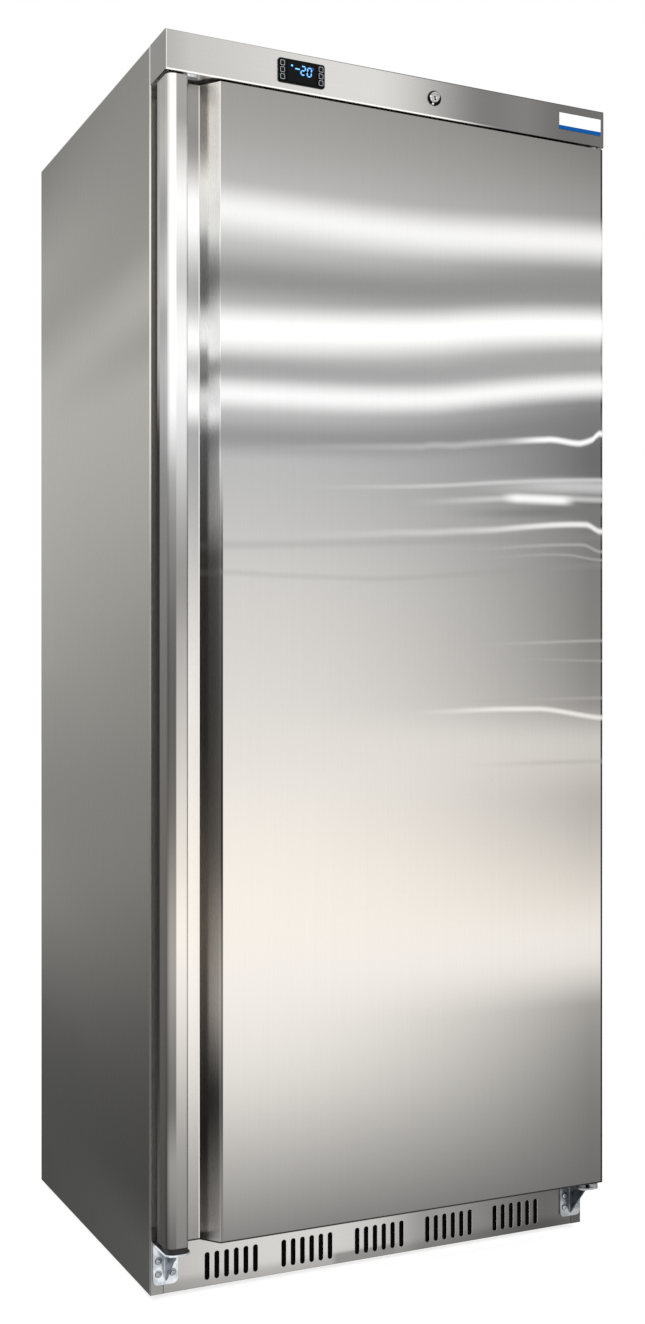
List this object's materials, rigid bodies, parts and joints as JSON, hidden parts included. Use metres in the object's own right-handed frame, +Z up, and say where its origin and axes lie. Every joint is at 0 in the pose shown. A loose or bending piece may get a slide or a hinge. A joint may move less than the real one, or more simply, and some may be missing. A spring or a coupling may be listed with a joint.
{
  "type": "upright freezer",
  "caption": "Tall brushed stainless-steel catering freezer, one right-hinged door with full-height folded grip, header with thermostat and key lock, slotted plinth grille.",
  "frame": {"origin": "centre of the bounding box's base, on the floor the freezer stands on", "axes": "+Z up, +Y from the door to the rear, +X to the right as seen from the front"},
  "size_m": [0.777, 0.698, 1.895],
  "materials": {
    "stainless": "brushed",
    "galvanised": "galvanised sheet",
    "zinc_plated": "bright zinc plate",
    "hinge_steel": "ground",
    "liner_white": "satin",
    "foam": "closed foam",
    "gasket_rubber": "matte",
    "pad_rubber": "matte",
    "housing_black": "satin",
    "display_dark": "clear lens",
    "key_grey": "matte",
    "lock_chrome": "polished",
    "label_white": "gloss",
    "nylon": "moulded",
    "coil_steel": "white coat",
    "compressor_black": "black enamel",
    "fin_aluminium": "bare fins",
    "motor_metal": "dark enamel",
    "fan_aluminium": "pressed",
    "copper": "drawn copper"
  },
  "bodies": {
    "cabinet": {"left_side_panel": "stainless", "right_side_panel": "stainless", "top_panel": "stainless", "rear_panel": "galvanised", "front_frame": "stainless", "inner_liner": "liner_white", "cabinet_insulation": "foam", "compartment_sheet": "galvanised", "base_pan": "galvanised", "front_feet": "zinc_plated", "roller_brackets": "zinc_plated", "front_grille": "stainless", "rear_service_cover": "galvanised", "power_inlet": "housing_black", "header_panel": "stainless", "upper_hinge_blank": "nylon", "controller_housing": "housing_black", "display_window": "display_dark", "lock_barrel": "lock_chrome", "lock_nut": "zinc_plated", "badge_plate": "label_white", "lower_hinge_brackets": "zinc_plated", "bracket_screws": "zinc_plated", "door_rest_pad": "pad_rubber", "upper_hinge_bracket": "zinc_plated", "hinge_pins": "hinge_steel", "hinge_washers": "hinge_steel", "evaporator_risers": "coil_steel", "shelf_rails": "zinc_plated", "temperature_probe": "hinge_steel", "compressor": "compressor_black", "compressor_grommets": "pad_rubber", "condenser_coil": "fin_aluminium", "fan_shroud": "galvanised", "fan_motor": "motor_metal", "filter_drier": "copper", "refrigerant_lines": "copper", "evaporator_shelf_1": "coil_steel", "evaporator_shelf_2": "coil_steel", "evaporator_shelf_3": "coil_steel", "evaporator_shelf_4": "coil_steel", "evaporator_shelf_5": "coil_steel", "evaporator_shelf_6": "coil_steel"},
    "door": {"door_skin": "stainless", "door_handle_profile": "stainless", "door_insulation": "foam", "door_liner": "liner_white", "door_gasket": "gasket_rubber", "hinge_bushes": "nylon", "lock_keeper": "nylon"},
    "lock_plug": {"lock_plug": "lock_chrome"},
    "fan_blade": {"fan_blade": "fan_aluminium"},
    "rear_roller_left": {"rear_roller_left": "nylon"},
    "rear_roller_right": {"rear_roller_right": "nylon"},
    "controller_key_1": {"controller_key_1": "key_grey"},
    "controller_key_2": {"controller_key_2": "key_grey"},
    "controller_key_3": {"controller_key_3": "key_grey"},
    "controller_key_4": {"controller_key_4": "key_grey"},
    "controller_key_5": {"controller_key_5": "key_grey"},
    "controller_key_6": {"controller_key_6": "key_grey"}
  },
  "joints": [
    {"name": "door_hinge", "type": "hinge", "parent": "cabinet", "child": "door", "pos_m": [0.3731, -0.333, 0.9645], "axis": [0, 0, 1], "range_deg": [0, 130]},
    {"name": "lock_turn", "type": "hinge", "parent": "cabinet", "child": "lock_plug", "pos_m": [0.0627, -0.32245, 1.865], "axis": [0, 1, 0], "range_deg": [0, 90]},
    {"name": "fan_spin", "type": "hinge", "parent": "cabinet", "child": "fan_blade", "pos_m": [0.12, 0.185, 0.1315], "axis": [0, 1, 0], "continuous": true},
    {"name": "left_roller_spin", "type": "hinge", "parent": "cabinet", "child": "rear_roller_left", "pos_m": [-0.3285, 0.289, 0.0135], "axis": [1, 0, 0], "continuous": true},
    {"name": "right_roller_spin", "type": "hinge", "parent": "cabinet", "child": "rear_roller_right", "pos_m": [0.3285, 0.289, 0.0135], "axis": [1, 0, 0], "continuous": true},
    {"name": "key_1_press", "type": "slide", "parent": "cabinet", "child": "controller_key_1", "axis": [0, 1, 0], "range_m": [0, 0.0005], "stiffness_N_per_m": 400},
    {"name": "key_2_press", "type": "slide", "parent": "cabinet", "child": "controller_key_2", "axis": [0, 1, 0], "range_m": [0, 0.0005], "stiffness_N_per_m": 400},
    {"name": "key_3_press", "type": "slide", "parent": "cabinet", "child": "controller_key_3", "axis": [0, 1, 0], "range_m": [0, 0.0005], "stiffness_N_per_m": 400},
    {"name": "key_4_press", "type": "slide", "parent": "cabinet", "child": "controller_key_4", "axis": [0, 1, 0], "range_m": [0, 0.0005], "stiffness_N_per_m": 400},
    {"name": "key_5_press", "type": "slide", "parent": "cabinet", "child": "controller_key_5", "axis": [0, 1, 0], "range_m": [0, 0.0005], "stiffness_N_per_m": 400},
    {"name": "key_6_press", "type": "slide", "parent": "cabinet", "child": "controller_key_6", "axis": [0, 1, 0], "range_m": [0, 0.0005], "stiffness_N_per_m": 400}
  ]
}
